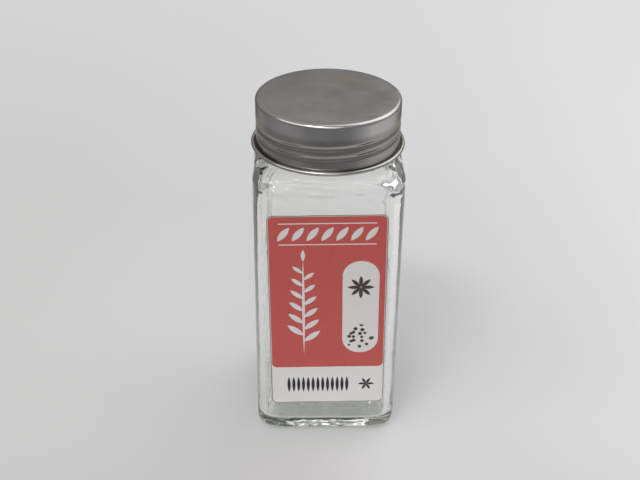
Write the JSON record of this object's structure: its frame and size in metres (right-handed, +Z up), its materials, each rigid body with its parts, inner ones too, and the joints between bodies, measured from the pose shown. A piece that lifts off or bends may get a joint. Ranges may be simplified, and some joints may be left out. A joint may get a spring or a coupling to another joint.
{
  "type": "square glass spice jar with screw cap",
  "caption": "Square clear glass spice jar with a rounded shoulder, a paper label, a sifter insert and a lined steel screw cap with a rolled thread and curled rim.",
  "frame": {"origin": "centre of the base, on the plane that the jar stands on", "axes": "+Z up along the axis of the neck and cap, -Y towards the label, +X to the right as seen by someone facing the label"},
  "size_m": [0.0468, 0.0468, 0.1106],
  "materials": {
    "clear_glass": "clear pressed glass, slightly wavy, faint green in the thick base",
    "dull_steel": "thin stainless sheet, satin, with faint turning marks",
    "moulded_white": "translucent white moulded polyethylene",
    "liner_foam": "soft white foamed sheet",
    "label_paper": "coated paper printed in red on white"
  },
  "bodies": {
    "jar": {"glass_jar": "clear_glass", "label": "label_paper", "sifter_insert": "moulded_white"},
    "liner": {"cap_liner": "liner_foam"},
    "cap": {"screw_cap": "dull_steel"}
  },
  "joints": [
    {"name": "cap_rise", "type": "slide", "parent": "jar", "child": "liner", "axis": [0, 0, 1], "range_m": [0, 0.024]},
    {"name": "cap_turn", "type": "hinge", "parent": "liner", "child": "cap", "pos_m": [0, 0, 0.1], "axis": [0, 0, 1], "range_deg": [0, 2880]}
  ],
  "couplings": [
    {"joint": "cap_rise", "follows": "cap_turn", "m_per_rad": 0.00047746}
  ]
}
